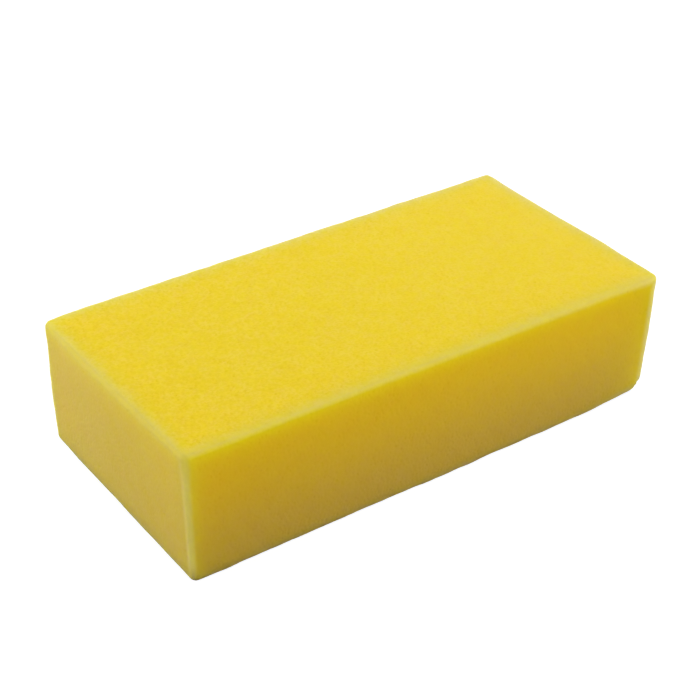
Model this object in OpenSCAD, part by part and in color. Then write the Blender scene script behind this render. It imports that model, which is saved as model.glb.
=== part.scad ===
// Foam sponge: one rectangular block cut from open-cell polyurethane foam,
// for washing down, damping and texturing painted surfaces.
// Millimetres. Origin at the middle of the underside, +X along the length, +Z up.

/* [Block] */
// Length of the block, along X
block_l = 200; // [120:1:260]
// Width of the block, along Y
block_w = 98; // [60:1:140]
// Thickness of the block, along Z
block_h = 51; // [25:1:80]

/* [Cut edges] */
// Radius that the foam's cut edges relax to
edge_r = 1.2; // [0.5:0.1:6]

/* [Hidden] */
foam_yellow = [0.93, 0.81, 0.21];
// Distances from the block's middle to the centres of its edge rounds
in_x = block_l / 2 - edge_r;
in_y = block_w / 2 - edge_r;
in_z = block_h / 2 - edge_r;

// A rectangle with round corners, centred, as the cross-section of the block
module round_rectangle(half_a, half_b) {
    square([2 * half_a, 2 * (half_b + edge_r)], center = true);
    square([2 * (half_a + edge_r), 2 * half_b], center = true);
    for (a = [-half_a, half_a], b = [-half_b, half_b])
        translate([a, b])
            circle(r = edge_r, $fn = 32);
}

// The block seen along one axis, extruded right through it
module profile_along(length, half_a, half_b) {
    linear_extrude(height = length, center = true)
        round_rectangle(half_a, half_b);
}

// The whole sponge: a block with flat faces, and every edge and corner rounded
module foam_block() {
    color(foam_yellow)
        translate([0, 0, block_h / 2])
            intersection() {
                profile_along(block_h, in_x, in_y);
                rotate([90, 0, 0]) profile_along(block_w, in_x, in_z);
                rotate([90, 0, 90]) profile_along(block_l, in_y, in_z);
            }
}

foam_block();
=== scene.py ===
"""A foam sponge: one block cut from open-cell foam, lying on a white studio floor."""

import math

import bpy
import numpy as np
from mathutils import Matrix, Vector


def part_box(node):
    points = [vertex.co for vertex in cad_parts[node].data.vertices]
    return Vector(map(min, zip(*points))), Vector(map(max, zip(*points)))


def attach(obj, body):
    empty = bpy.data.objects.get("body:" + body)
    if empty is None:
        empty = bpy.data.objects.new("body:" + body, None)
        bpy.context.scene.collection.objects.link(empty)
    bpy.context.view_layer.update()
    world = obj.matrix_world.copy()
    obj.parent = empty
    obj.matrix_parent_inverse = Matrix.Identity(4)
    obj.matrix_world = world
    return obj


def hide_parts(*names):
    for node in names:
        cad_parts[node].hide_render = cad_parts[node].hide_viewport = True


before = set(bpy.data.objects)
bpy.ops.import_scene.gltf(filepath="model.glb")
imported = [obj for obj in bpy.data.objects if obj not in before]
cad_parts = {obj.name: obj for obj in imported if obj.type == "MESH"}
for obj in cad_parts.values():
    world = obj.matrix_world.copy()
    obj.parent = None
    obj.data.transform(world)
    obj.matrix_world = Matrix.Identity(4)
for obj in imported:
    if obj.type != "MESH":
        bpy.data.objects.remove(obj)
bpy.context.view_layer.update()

MM = 0.001
LOW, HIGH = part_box("foam_block")
LENGTH, WIDTH, HEIGHT = HIGH - LOW
SIZE = np.array([LENGTH, WIDTH, HEIGHT])
CENTRE = (LOW + HIGH) / 2

# The rounded edges
EDGE_RADIUS = 1.7 * MM
RADIUS_VARIATION = 0.1  # how unevenly the edges are rounded, as a share of the radius
RADIUS_WAVELENGTH = 22 * MM
CORNER_ROUNDING = 0.3  # how much larger the radius is at the corners
CORNER_REACH = 3 * MM
LEFT_ROUNDING = 0.6  # and how much larger it is along the middle of the left end's top edge
LEFT_REACH = 10 * MM
LEFT_FADE = 4  # and by which power of the way to that edge's corners it fades again

# The foam's cut skin
GRID_STEP = 0.37 * MM  # between neighbouring vertices
SWELL = 0.25 * MM  # how far the skin stands out from the nominal block
CELL = 1.25 * MM  # typical bubble that the cut opened
CELL_DEPTH = 0.32 * MM
SHALLOWEST = 0.3  # the shallowest of these bubbles, as a share of the deepest
FINE_CELL = 0.8 * MM  # the smaller bubbles between them
FINE_DEPTH = 0.16 * MM
BUBBLE_SHRINK = (0.8, 1.3)  # from the largest bubble to the smallest: how soon it gives way to the next
EDGE_DEPTH = 0.45  # times these depths at the edges, where the bubbles are shallower
EDGE_DEPTH_REACH = 4 * MM
SIDE_DEPTH = 0.65  # and times this on the sides, which are smoother than the top
RIPPLES = ((0.04 * MM, 9 * MM, 4), (0.06 * MM, 50 * MM, 5))  # depth, wavelength and random seed
WAVE_SPREAD = (0.7, 1.3)  # the wavelengths that make up one noise, as shares of its own

# Unevenness of the real block
LEFT_LEAN = 0.4 * MM  # the left end's top leans outward this much, and its foot inward
RIGHT_LEAN = 0.8 * MM  # the right end does the same at the front, and stands upright at the back
FRONT_LEAN = 1.0 * MM  # the front face's top leans back this much at the left end
BACK_LEAN = 0.5 * MM  # and the back face's foot stands this much inward there
RIGHT_FLARE = 0.5 * MM  # at the right end the top spreads this much to either side
TOP_CROWN = 0.3 * MM  # the top is this much higher at mid-length than at the ends
TOP_RISE = 0.35 * MM  # the top is this much higher at the right end
BACK_DROP = 0.5 * MM  # and this much lower at the left end's back corner
END_BULGE = 0.3 * MM  # either end swells outward this much at its top middle
END_BULGE_START = 0.7  # the swelling begins at this share of the way from the block's middle
CORNER_LIFT = 2.5 * MM  # the underside rises this much at the front right corner
CORNER_LIFT_REACH = (31 * MM, 40 * MM)  # along the length, and across the width
TEAR = Vector((5.3, 5.8, 5.5)) * MM  # how far the torn corner reaches along each edge
TEAR_RAGGEDNESS = 0.12  # how unevenly it is torn, as a share of that
TEAR_WAVELENGTH = 2.6 * MM

# How far each change of colour reaches in from the block's edges. These changes are painted light and
# shade: pale highlights along the edges, bands below the top edges where light shines through, light and
# shade beside the vertical edges and shade at the foot
TOP_RIM = 2.2 * MM
FRONT_REACH = 12.0 * MM
LEFT_RIM_REACH = 8.0 * MM
SIDE_RIM = (2.15 * MM, 3.15 * MM, 4.7 * MM)  # at the left end, near the right end and at it
SIDE_RIM_PLACES = (-LENGTH / 2, 0.42 * LENGTH, LENGTH / 2)
END_RIM = (-1.0 * MM, 6.0 * MM)  # where it begins to fade and where it is gone, near the top edge
END_UPRIGHT_RIM = (0.5 * MM, 3.5 * MM)  # the same far below the top edge
NEAR_REACH = 5.5 * MM
UPRIGHT_REACH = (5.0 * MM, 9.0 * MM)  # on the long sides, at the left end and at the right end
END_UPRIGHT_REACH = 4.0 * MM
FOOT_RIM = (1 * MM, 8 * MM)  # the heights between which the foot's rim of painted shade turns into the others, of painted highlight
FOOT_HEIGHT = 42 * MM  # the painted shade at the foot fades out at this height

# How strong the mottling and its painted shade in the open bubbles are: 1 at the middle of the top
SIDE_MOTTLE = 0.28  # on the four sides
MOTTLE_SLOPE = 0.32  # it is this much weaker at the top's right end and stronger at its left
EDGE_CALM = 0.65  # and this much weaker at the edges
CALM_REACH = 5.0 * MM
BUMP = 0.3  # strength of the finest grain where the mottling is 1
GRAIN = 0.55 * MM
GRAIN_HEIGHT = 0.2 * MM

# What the mottling is made of: painted shade, a deeper yellow in the open bubbles where shade falls in
# them, and clouds of tone of three sizes
BUBBLE_SHADE = (0.96, 0.93, 0.57, 1)
BUBBLE_SHADE_RANGE = (0.1, 0.8)  # the depths in a bubble between which the painted shade sets in
BUBBLE_SHADE_SHARE = 0.6  # of the painted shade, in the deepest bubbles
CLOUDS = (
    (1.1 * MM, (0.965, 0.96, 0.69, 1)),
    (3.0 * MM, (0.99, 0.99, 0.62, 1)),
    (8.0 * MM, (0.99, 0.99, 0.74, 1)),
)
CLOUD_RANGE = (0.38, 0.66)  # the noise between which a cloud begins and is full

# From the block's front left corner, nearest the camera, to its back right one, along which painted light
# mostly makes the colours paler and brighter: a sum of places that run from -1 to 1 along and across it
BACK_RIGHT_ACROSS = 2  # how much the place across the block counts for, beside the place along it
BACK_RIGHT_RANGE = (-3, 2.5)

ATLAS_GAP = 4  # grid steps between neighbouring faces in the texture atlas
NEARLY_ZERO = 1e-9

# The studio
FLOOR_SIZE = 12.0
FLOOR_GLOW = (0.9, 1.0)  # beside the block, and farther off
FLOOR_GLOW_PLACES = (0.15, 0.6)
ROOM_LIGHT = 0.06

# Camera, as in the photograph
VIEW_AZIMUTH = math.radians(35.76)
VIEW_ELEVATION = math.radians(33.03)
VIEW_ROLL = math.radians(1.05)
VIEW_DISTANCE = 0.6124
LENS_MM = 85.65
SENSOR_MM = 36
AIM_OFFSET = Vector((-1.3, 2.55, 2.0)) * MM

# The mix node's sockets for colours
MIX_FACTOR, MIX_FIRST, MIX_SECOND = 0, 6, 7
MIX_RESULT = 2


def waves(points, wavelength, seed, count=9):
    """Smooth noise of about unit height: a sum of plane waves in random directions."""
    rng = np.random.default_rng(seed)
    total = np.zeros(len(points))
    for _ in range(count):
        direction = rng.normal(size=3)
        direction /= np.linalg.norm(direction) * wavelength * rng.uniform(*WAVE_SPREAD)
        total += np.cos(2 * math.pi * (points @ direction + rng.random()))
    return total / math.sqrt(count / 2)


def smoothstep(low, high, x):
    """0 at low, 1 at high, and a smooth ramp between."""
    t = np.clip((x - low) / (high - low), 0, 1)
    return t * t * (3 - 2 * t)


def foam_cells(points, spacing, seed):
    """How far inside a bubble each point lies, from 0 at its wall to 1, and that bubble's own chance."""
    rng = np.random.default_rng(seed)
    scaled = (points - points.min(0)) / spacing + 2
    home = np.floor(scaled).astype(int)
    bubbles = rng.random((*(home.max(0) + 3), 5))
    least, most = BUBBLE_SHRINK
    nearest = np.full(len(points), np.inf)
    second = nearest.copy()
    chance = np.zeros(len(points))
    for offset in np.ndindex(3, 3, 3):
        cell = home + np.array(offset) - 1
        bubble = bubbles[cell[:, 0], cell[:, 1], cell[:, 2]]
        shrink = least + (most - least) * bubble[:, 3]
        away = np.linalg.norm(scaled - cell - bubble[:, :3], axis=1) * shrink
        second = np.minimum(second, np.maximum(nearest, away))
        chance = np.where(away < nearest, bubble[:, 4], chance)
        nearest = np.minimum(nearest, away)
    inside = (second - nearest) / (second + nearest)
    return np.sin(inside * math.pi / 2), chance


def block_shell(counts):
    """A box's surface as a lattice: points in whole steps, quads, and each quad corner's face and place."""
    points, quads, places = [], [], []
    start = 0
    for axis in range(3):
        u, v = (axis + 1) % 3, (axis + 2) % 3
        for side in (0, 1):
            a, b = np.meshgrid(np.arange(counts[u] + 1), np.arange(counts[v] + 1), indexing="ij")
            point = np.zeros((*a.shape, 3), int)
            point[..., u], point[..., v], point[..., axis] = a, b, side * counts[axis]
            index = start + np.arange(a.size).reshape(a.shape)
            ring = [index[:-1, :-1], index[1:, :-1], index[1:, 1:], index[:-1, 1:]]
            if side == 0:
                ring.reverse()
            points.append(point.reshape(-1, 3))
            quads.append(np.stack(ring, -1).reshape(-1, 4))
            places.append(np.stack([np.full(a.shape, 2 * axis + side), a, b], -1).reshape(-1, 3))
            start += a.size
    quads = np.concatenate(quads)
    points, weld = np.unique(np.concatenate(points), axis=0, return_inverse=True)
    return points, weld.reshape(-1)[quads], np.concatenate(places)[quads]


def face_atlas(places, counts):
    """Texture coordinates that lay the six faces side by side, all to one scale, in a square."""
    x, y, z = counts + ATLAS_GAP
    starts = np.array([(0, 2 * y), (y, 2 * y), (x, 0), (x + z, 0), (0, 0), (0, y)])
    return (starts[places[..., 0]] + places[..., 1:]) / (x + 2 * z)


def rounding(flat, to_corner):
    """The edge radius that holds near each point of the block."""
    radius = EDGE_RADIUS * (1 + RADIUS_VARIATION * waves(flat, RADIUS_WAVELENGTH, seed=1))
    radius *= 1 + CORNER_ROUNDING * np.exp(-to_corner / CORNER_REACH)
    from_left = np.hypot(flat[:, 0] + LENGTH / 2, flat[:, 2] - HEIGHT / 2)
    away_from_corners = 1 - (flat[:, 1] / (WIDTH / 2)) ** LEFT_FADE
    radius *= 1 + LEFT_ROUNDING * away_from_corners * np.exp(-from_left / LEFT_REACH)
    return radius[:, None]


def pitting(flat, to_edge, facing_up):
    """How deep the skin lies below the nominal block, and how deep in an open bubble, from 0 to 1."""
    bubble, chance = foam_cells(flat, CELL, seed=2)
    fine, _ = foam_cells(flat, FINE_CELL, seed=3)
    pit = bubble * (SHALLOWEST + (1 - SHALLOWEST) * chance)
    ripple = sum(height * waves(flat, length, seed) for height, length, seed in RIPPLES)
    depth = CELL_DEPTH * pit + FINE_DEPTH * fine
    depth *= EDGE_DEPTH + (1 - EDGE_DEPTH) * smoothstep(0, EDGE_DEPTH_REACH, to_edge)
    depth *= SIDE_DEPTH + (1 - SIDE_DEPTH) * facing_up
    depth -= depth.mean() + ripple + SWELL
    return depth[:, None], pit


def worn(place):
    """Moves the points by the block's unevenness: leaning ends, a lifted underside and a torn corner."""
    x, y, z = place.T
    up = (z - LOW.z) / HEIGHT
    along = (x - CENTRE.x) / (LENGTH / 2)
    across = (y - CENTRE.y) / (WIDTH / 2)
    to_right = (along + 1) / 2
    to_front = (1 - across) / 2
    x += (RIGHT_LEAN * to_right * to_front - LEFT_LEAN * (1 - to_right)) * (2 * up - 1)
    y += (RIGHT_FLARE * across * to_right + FRONT_LEAN * (1 - to_right) * to_front) * up
    y -= BACK_LEAN * (1 - to_right) * (1 - to_front) * (1 - up)
    crown = TOP_CROWN * (1 - along**2)
    z += (crown + TOP_RISE * to_right - BACK_DROP * (1 - to_right) * (1 - to_front)) * up
    at_end = np.sign(along) * smoothstep(END_BULGE_START, 1, np.abs(along))
    x += END_BULGE * at_end * up * (1 - across**2)
    length_reach, width_reach = CORNER_LIFT_REACH
    at_corner = np.clip(1 - (HIGH.x - x) / length_reach, 0, None)
    at_corner = at_corner * smoothstep(LOW.y + width_reach, LOW.y, y)
    z += CORNER_LIFT * at_corner * (1 - up)
    inward = np.array([-1 / TEAR.x, 1 / TEAR.y, 1 / TEAR.z])
    corner = np.array([HIGH.x, LOW.y, LOW.z + CORNER_LIFT])
    steepness = np.linalg.norm(inward)
    ragged = 1 + TEAR_RAGGEDNESS * waves(place, TEAR_WAVELENGTH, seed=7)
    missing = np.maximum(ragged - (place - corner) @ inward, 0) / steepness
    place += missing[:, None] * inward / steepness


def colour_places(flat, to_edge, facing, pit):
    """What the material has to know at each point, by name: mostly shares from 0 to 1."""
    x, y, z = flat.T
    on_end, on_side, on_top = facing.T
    along = x / (LENGTH / 2)
    across = y / (WIDTH / 2)
    near = np.exp(-np.where(on_top > 0.5, to_edge, HEIGHT / 2 - z) / NEAR_REACH)
    end_rim = [low + (high - low) * near for low, high in zip(END_UPRIGHT_RIM, END_RIM)]
    rim = on_end * (1 - smoothstep(*end_rim, to_edge))
    rim += on_side * (1 - smoothstep(0, np.interp(x, SIDE_RIM_PLACES, SIDE_RIM), to_edge))
    rim += on_top * np.exp(-to_edge / TOP_RIM)
    upright = on_side * np.exp((np.abs(x) - LENGTH / 2) / np.where(x < 0, *UPRIGHT_REACH))
    upright += on_end * np.exp((np.abs(y) - WIDTH / 2) / END_UPRIGHT_REACH)
    calm = 1 - EDGE_CALM * (1 - smoothstep(0, CALM_REACH, to_edge))
    return {
        "end": on_end,
        "side": on_side / np.maximum(on_side + on_top, NEARLY_ZERO),
        "pit": pit,
        "mottle": (SIDE_MOTTLE * (1 - on_top) + on_top * (1 - MOTTLE_SLOPE * along)) * calm,
        "rim": rim,
        "near": near,
        "upright": upright,
        "front": np.exp(-(y + WIDTH / 2) / FRONT_REACH),
        "left": np.exp(-(x + LENGTH / 2) / LEFT_RIM_REACH),
        "to_right": (along + 1) / 2,
        "toward_back_right": smoothstep(*BACK_RIGHT_RANGE, along + BACK_RIGHT_ACROSS * across),
    }


def quad_mesh(name, points, quads, atlas):
    """A smooth-shaded mesh of these quads, with these texture coordinates."""
    mesh = bpy.data.meshes.new(name)
    mesh.vertices.add(len(points))
    mesh.vertices.foreach_set("co", points.astype(np.float32).ravel())
    mesh.loops.add(quads.size)
    mesh.loops.foreach_set("vertex_index", quads.ravel().astype(np.int32))
    mesh.polygons.add(len(quads))
    mesh.polygons.foreach_set("loop_start", np.arange(0, quads.size, 4, dtype=np.int32))
    mesh.update(calc_edges=True)
    mesh.shade_smooth()
    texture = mesh.uv_layers.new(name="OFBake")
    texture.data.foreach_set("uv", atlas.astype(np.float32).ravel())
    return mesh


def foam_mesh():
    """A dense closed skin over the block, pitted by the bubbles that the cut opened."""
    counts = np.round(SIZE / GRID_STEP).astype(int)
    points, quads, places = block_shell(counts)
    flat = (points / counts - 0.5) * SIZE
    _, to_edge, to_corner = np.sort(SIZE / 2 - np.abs(flat), axis=1).T
    radius = rounding(flat, to_corner)
    inner = np.clip(flat, radius - SIZE / 2, SIZE / 2 - radius)
    outward = flat - inner
    outward /= np.linalg.norm(outward, axis=1)[:, None]
    facing = outward**2
    depth, pit = pitting(flat, to_edge, facing[:, 2])
    place = inner + outward * (radius - depth) + np.array(CENTRE)
    worn(place)
    place[:, 2] = np.maximum(place[:, 2], LOW.z)
    mesh = quad_mesh("foam_sponge", place, quads, face_atlas(places, counts))
    for name, value in colour_places(flat, to_edge, facing, pit).items():
        layer = mesh.attributes.new(name, "FLOAT", "POINT")
        layer.data.foreach_set("value", value.astype(np.float32))
    return mesh


class Nodes:
    """Short ways to add and join shader nodes."""

    def __init__(self, material):
        self.tree = material.node_tree
        self.shader = self.tree.nodes["Principled BSDF"]

    def add(self, kind, **inputs):
        node = self.tree.nodes.new("ShaderNode" + kind)
        for name, value in inputs.items():
            self.put(node.inputs[name.replace("_", " ")], value)
        return node

    def put(self, socket, value):
        if isinstance(value, bpy.types.NodeSocket):
            self.tree.links.new(value, socket)
        else:
            socket.default_value = value

    def attribute(self, name):
        node = self.tree.nodes.new("ShaderNodeAttribute")
        node.attribute_name = name
        return node.outputs["Fac"]

    def ramp(self, value, low, high, start=0, end=1):
        node = self.add("MapRange", Value=value, From_Min=low, From_Max=high, To_Min=start, To_Max=end)
        node.interpolation_type = "SMOOTHSTEP"
        return node.outputs["Result"]

    def mix(self, factor, first, second, blend="MIX"):
        node = self.tree.nodes.new("ShaderNodeMix")
        node.data_type = "RGBA"
        node.blend_type = blend
        self.put(node.inputs[MIX_FACTOR], factor)
        self.put(node.inputs[MIX_FIRST], first)
        self.put(node.inputs[MIX_SECOND], second)
        return node.outputs[MIX_RESULT]

    def times(self, first, second):
        node = self.tree.nodes.new("ShaderNodeMath")
        node.operation = "MULTIPLY"
        self.put(node.inputs[0], first)
        self.put(node.inputs[1], second)
        return node.outputs[0]

    def from_left(self, left, right):
        """A colour that runs from the block's left end to its right end, as painted light changes along the
        block.
        """
        return self.mix(self.attribute("to_right"), left, right)

    def from_here(self, here, toward_back_right):
        """A colour that runs from the block's front left corner to its back right one, as painted light
        changes along the block.
        """
        return self.mix(self.attribute("toward_back_right"), here, toward_back_right)

    def by_face(self, top, side, end):
        """One colour on the two large faces, one on the long sides and one on the ends."""
        flank = self.mix(self.attribute("side"), top, side)
        return self.mix(self.attribute("end"), flank, end)


def face_colour(nodes, low):
    """The faces away from their vertical edges, in colours that are partly painted light: painted shade
    makes them duller at the foot, and near the top edges they are greener, with a painted band of light on
    the sides and ends where light from the top shines through, and painted shade on the top where it leaks
    out.
    """
    # The top, the long sides and the ends differ partly in the foam's own yellow and partly in painted
    # light: the sides' deeper orange and the ends' paler, bluer tone stand in for how the lights fall on
    # each face.
    top = (0.94, 0.68, 0.060, 1)
    side = nodes.from_left((0.905, 0.570, 0.028, 1), (0.935, 0.590, 0.028, 1))
    end = nodes.from_here((0.89, 0.620, 0.095, 1), (0.89, 0.620, 0.133, 1))
    side_foot = (0.695, 0.445, 0.070, 1)
    end_foot = nodes.from_here((0.827, 0.562, 0.104, 1), (0.94, 0.638, 0.132, 1))
    colour = nodes.mix(low, nodes.by_face(top, side, end), nodes.by_face(top, side_foot, end_foot))
    top_near = nodes.from_left((0.835, 0.640, 0.040, 1), (0.755, 0.582, 0.040, 1))
    top_near = nodes.from_here(top_near, (0.82, 0.635, 0.080, 1))
    side_near = nodes.from_left((1.00, 0.785, 0.001, 1), (0.89, 0.695, 0.001, 1))
    end_near = nodes.from_here((0.92, 0.715, 0.070, 1), (1.00, 0.785, 0.130, 1))
    return nodes.mix(nodes.attribute("near"), colour, nodes.by_face(top_near, side_near, end_near))


def upright_colour(nodes, low):
    """The sides and ends beside their vertical edges, in painted light and shade that follow how the light
    falls around these edges, and that change towards the foot.
    """
    side = nodes.from_left((0.865, 0.680, 0.034, 1), (0.82, 0.630, 0.012, 1))
    side_foot = nodes.from_left((0.70, 0.540, 0.034, 1), (0.93, 0.690, 0.032, 1))
    side = nodes.mix(low, side, side_foot)
    end = nodes.mix(low, (0.80, 0.585, 0.095, 1), (0.69, 0.540, 0.092, 1))
    return nodes.mix(nodes.attribute("end"), side, end)


def rim_highlight_and_foot_shade(nodes, height):
    """The pale rims along the cut edges: a painted highlight where light catches the thin edges and shines
    through them, paler along the back and right edges, and a rim of painted shade at the foot.
    """
    top = nodes.from_here((0.80, 0.620, 0.250, 1), (0.86, 0.670, 0.350, 1))
    front = nodes.from_left((0.80, 0.615, 0.120, 1), (0.735, 0.565, 0.120, 1))
    left = (0.755, 0.588, 0.180, 1)
    top = nodes.mix(nodes.attribute("front"), top, front)
    top = nodes.mix(nodes.attribute("left"), top, left)
    side = nodes.from_left((1.00, 0.760, 0.180, 1), (0.88, 0.668, 0.145, 1))
    side_upright = nodes.from_left((1.00, 0.760, 0.190, 1), (0.94, 0.730, 0.320, 1))
    side = nodes.mix(nodes.attribute("upright"), side, side_upright)
    end = nodes.mix(nodes.attribute("near"), (0.95, 0.725, 0.230, 1), (0.84, 0.633, 0.120, 1))
    foot = nodes.by_face((0.80, 0.60, 0.100, 1), (0.68, 0.48, 0.130, 1), (0.78, 0.58, 0.160, 1))
    return nodes.mix(nodes.ramp(height, *FOOT_RIM), foot, nodes.by_face(top, side, end))


def bubble_shade_and_clouds(nodes, colour, where):
    """Deepens a colour with painted shade in the open bubbles, and in clouds of three sizes."""
    mottle = nodes.attribute("mottle")
    in_bubble = nodes.ramp(nodes.attribute("pit"), *BUBBLE_SHADE_RANGE, end=BUBBLE_SHADE_SHARE)
    colour = nodes.mix(nodes.times(in_bubble, mottle), colour, BUBBLE_SHADE, "MULTIPLY")
    for size, tint in CLOUDS:
        noise = nodes.add("TexNoise", Vector=where, Scale=1 / size, Detail=1.0)
        cloud = nodes.ramp(noise.outputs["Fac"], *CLOUD_RANGE)
        colour = nodes.mix(nodes.times(cloud, mottle), colour, tint, "MULTIPLY")
    return colour


def foam_material():
    """Yellow foam that light soaks into, with a dull surface, a fine grain, and painted light and shade in
    its colour.
    """
    material = bpy.data.materials.new("yellow_foam")
    material.use_nodes = True
    nodes = Nodes(material)
    shader = nodes.shader
    where = nodes.add("TexCoord").outputs["Object"]
    height = nodes.add("SeparateXYZ", Vector=where).outputs["Z"]
    # Painted shade at the foot: 1 at the floor, 0 at FOOT_HEIGHT.
    low = nodes.ramp(height, 0, FOOT_HEIGHT, start=1, end=0)
    colour = face_colour(nodes, low)
    colour = nodes.mix(nodes.attribute("upright"), colour, upright_colour(nodes, low))
    colour = nodes.mix(nodes.attribute("rim"), colour, rim_highlight_and_foot_shade(nodes, height))
    # Painted shade: the colour darkens towards the right end.
    right_end_shade = (0.95, 0.95, 1, 1)
    colour = nodes.mix(nodes.attribute("to_right"), colour, right_end_shade, "MULTIPLY")
    nodes.put(shader.inputs["Base Color"], bubble_shade_and_clouds(nodes, colour, where))
    nodes.put(shader.inputs["Roughness"], nodes.ramp(nodes.attribute("pit"), 0, 1, start=0.85))
    shader.inputs["Specular IOR Level"].default_value = 0.03
    shader.inputs["Subsurface Weight"].default_value = 1.0
    shader.inputs["Subsurface Radius"].default_value = (1.0, 1.0, 0.08)
    shader.inputs["Subsurface Scale"].default_value = 12 * MM
    shader.inputs["Sheen Weight"].default_value = 0.02
    shader.inputs["Sheen Roughness"].default_value = 0.4
    grain = nodes.add("TexVoronoi", Vector=where, Scale=1 / GRAIN).outputs["Distance"]
    strength = nodes.times(nodes.attribute("mottle"), BUMP)
    bump = nodes.add("Bump", Height=grain, Strength=strength, Distance=GRAIN_HEIGHT)
    nodes.put(shader.inputs["Normal"], bump.outputs["Normal"])
    return material


def floor_material():
    """Grey, but lit up to white for the camera alone, so that it throws little light at the foam."""
    material = bpy.data.materials.new("white_floor")
    material.use_nodes = True
    nodes = Nodes(material)
    shader = nodes.shader
    shader.inputs["Base Color"].default_value = (0.3, 0.3, 0.3, 1)
    shader.inputs["Roughness"].default_value = 0.8
    shader.inputs["Specular IOR Level"].default_value = 0.0
    shader.inputs["Emission Color"].default_value = (1, 1, 1, 1)
    seen = nodes.add("LightPath").outputs["Is Camera Ray"]
    away = nodes.tree.nodes.new("ShaderNodeVectorMath")
    away.operation = "LENGTH"
    nodes.put(away.inputs[0], nodes.add("TexCoord").outputs["Object"])
    glow = nodes.ramp(away.outputs["Value"], *FLOOR_GLOW_PLACES, *FLOOR_GLOW)
    nodes.put(shader.inputs["Emission Strength"], nodes.times(seen, glow))
    return material


def studio_floor():
    """A wide flat floor under the block."""
    mesh = bpy.data.meshes.new("floor")
    half = FLOOR_SIZE / 2
    corners = [(x, y, LOW.z) for x, y in ((-half, -half), (half, -half), (half, half), (-half, half))]
    mesh.from_pydata(corners, [], [(0, 1, 2, 3)])
    mesh.materials.append(floor_material())
    floor = bpy.data.objects.new("floor", mesh)
    bpy.context.scene.collection.objects.link(floor)


def softbox(name, azimuth, elevation, distance, size, power):
    """A square area light that faces the block, at an azimuth measured from +Y towards +X."""
    light = bpy.data.lights.new(name, "AREA")
    light.shape = "SQUARE"
    light.size = size
    light.energy = power
    obj = bpy.data.objects.new(name, light)
    a, e = math.radians(azimuth), math.radians(elevation)
    away = Vector((math.sin(a) * math.cos(e), math.cos(a) * math.cos(e), math.sin(e)))
    obj.location = CENTRE + away * distance
    obj.rotation_euler = away.to_track_quat("Z", "Y").to_euler()
    bpy.context.scene.collection.objects.link(obj)


def studio_light():
    """Two soft boxes above the block, two low ones on its left and two in front of it."""
    softbox("above_back", azimuth=0, elevation=55, distance=0.8, size=0.8, power=2.0)
    softbox("above_right", azimuth=50, elevation=55, distance=0.8, size=0.8, power=3.05)
    softbox("left", azimuth=-75, elevation=14, distance=0.9, size=0.4, power=1.5)
    softbox("left_back", azimuth=-60, elevation=20, distance=0.9, size=0.7, power=2.85)
    softbox("front_right", azimuth=150, elevation=25, distance=0.9, size=0.7, power=5.2)
    softbox("front_left", azimuth=225, elevation=30, distance=0.9, size=0.7, power=0.4)


def studio_room():
    """A room that lights the block dimly, and that the camera sees as plain white."""
    world = bpy.data.worlds.new("studio")
    bpy.context.scene.world = world
    world.use_nodes = True
    tree = world.node_tree
    light = tree.nodes["Background"]
    light.inputs["Color"].default_value = (1, 1, 1, 1)
    light.inputs["Strength"].default_value = ROOM_LIGHT
    seen = tree.nodes.new("ShaderNodeBackground")
    seen.inputs["Color"].default_value = (1, 1, 1, 1)
    mix = tree.nodes.new("ShaderNodeMixShader")
    path = tree.nodes.new("ShaderNodeLightPath")
    tree.links.new(path.outputs["Is Camera Ray"], mix.inputs[0])
    tree.links.new(light.outputs[0], mix.inputs[1])
    tree.links.new(seen.outputs[0], mix.inputs[2])
    tree.links.new(mix.outputs[0], tree.nodes["World Output"].inputs["Surface"])


def camera():
    """The photograph's camera: a long lens, looking down at the block's front left corner."""
    data = bpy.data.cameras.new("camera")
    data.lens = LENS_MM
    data.sensor_width = SENSOR_MM
    obj = bpy.data.objects.new("camera", data)
    ahead = Vector((
        math.sin(VIEW_AZIMUTH) * math.cos(VIEW_ELEVATION),
        math.cos(VIEW_AZIMUTH) * math.cos(VIEW_ELEVATION),
        -math.sin(VIEW_ELEVATION),
    ))
    turn = ahead.to_track_quat("-Z", "Y").to_matrix().to_4x4() @ Matrix.Rotation(VIEW_ROLL, 4, "Z")
    obj.matrix_world = Matrix.Translation(CENTRE + AIM_OFFSET - ahead * VIEW_DISTANCE) @ turn
    bpy.context.scene.collection.objects.link(obj)
    bpy.context.scene.camera = obj


camera()
studio_light()
studio_room()
studio_floor()
foam = bpy.data.objects.new("foam_sponge", foam_mesh())
bpy.context.scene.collection.objects.link(foam)
foam.data.materials.append(foam_material())
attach(foam, "root")
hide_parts("foam_block")
bpy.context.scene.view_settings.view_transform = "Standard"
